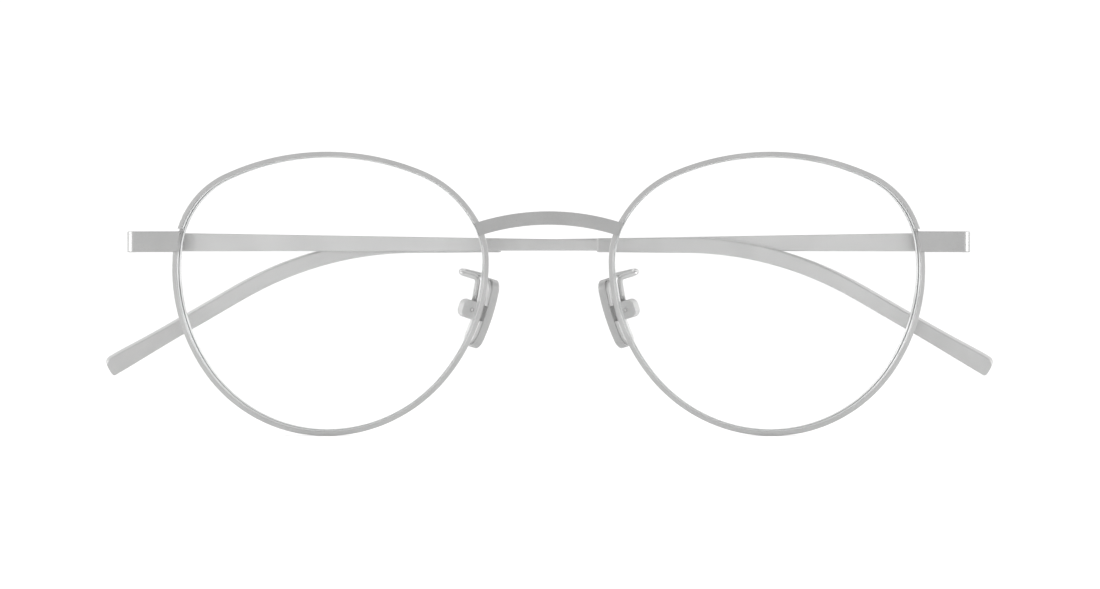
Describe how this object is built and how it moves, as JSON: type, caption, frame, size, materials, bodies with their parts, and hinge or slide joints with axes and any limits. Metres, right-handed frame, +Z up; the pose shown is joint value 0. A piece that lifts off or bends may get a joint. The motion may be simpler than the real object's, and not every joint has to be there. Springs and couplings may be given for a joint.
{
  "type": "round wire spectacles",
  "caption": "Round wire spectacles with an arched bridge, clear lenses, rocking nose pads and folding temples with drop ear tips.",
  "frame": {"origin": "on the mid-plane between the two rims, half way from front to back of the folded spectacles, at the height of the rims' lowest points", "axes": "+X to the wearer's left, which is right for someone who looks at the front; +Y from the front to the wearer's face; +Z up"},
  "size_m": [0.1454, 0.0172, 0.0461],
  "materials": {
    "satin_metal": "satin",
    "pad_metal": "satin",
    "tip_plastic": "satin",
    "clear_lens": "polished"
  },
  "bodies": {
    "front": {"bridge": "satin_metal", "rim_left": "satin_metal", "rim_right": "satin_metal", "lens_left": "clear_lens", "lens_right": "clear_lens", "end_piece_left": "satin_metal", "end_piece_right": "satin_metal", "closing_block_lower_left": "satin_metal", "closing_block_lower_right": "satin_metal", "closing_block_upper_left": "satin_metal", "closing_block_upper_right": "satin_metal", "closing_screw_left": "satin_metal", "closing_screw_right": "satin_metal", "hinge_front_left": "satin_metal", "hinge_front_right": "satin_metal", "hinge_screw_left": "satin_metal", "hinge_screw_right": "satin_metal", "pad_arm_left": "satin_metal", "pad_arm_right": "satin_metal", "pad_box_left": "satin_metal", "pad_box_right": "satin_metal", "pad_screw_left": "satin_metal", "pad_screw_right": "satin_metal"},
    "arm_left": {"hinge_rear_left": "satin_metal", "temple_left": "satin_metal", "temple_tip_left": "tip_plastic"},
    "pad_left": {"nose_pad_left": "pad_metal", "pad_backing_left": "satin_metal"},
    "arm_right": {"hinge_rear_right": "satin_metal", "temple_right": "satin_metal", "temple_tip_right": "tip_plastic"},
    "pad_right": {"nose_pad_right": "pad_metal", "pad_backing_right": "satin_metal"}
  },
  "joints": [
    {"name": "temple_hinge_left", "type": "hinge", "parent": "front", "child": "arm_left", "pos_m": [0.06665, 0.00424, 0.03147], "axis": [0, 0, -1], "range_deg": [0, 89.3]},
    {"name": "temple_hinge_right", "type": "hinge", "parent": "front", "child": "arm_right", "pos_m": [-0.06665, 0.00424, 0.03147], "axis": [0, 0, 1], "range_deg": [0, 90.7]},
    {"name": "nose_pad_rock_left", "type": "hinge", "parent": "front", "child": "pad_left", "pos_m": [0.01286, -0.00319, 0.02058], "axis": [0.3262, 0.9397, 0.1028], "range_deg": [-5, 5]},
    {"name": "nose_pad_rock_right", "type": "hinge", "parent": "front", "child": "pad_right", "pos_m": [-0.01286, -0.00319, 0.02058], "axis": [0.3262, -0.9397, -0.1028], "range_deg": [-5, 5]}
  ]
}
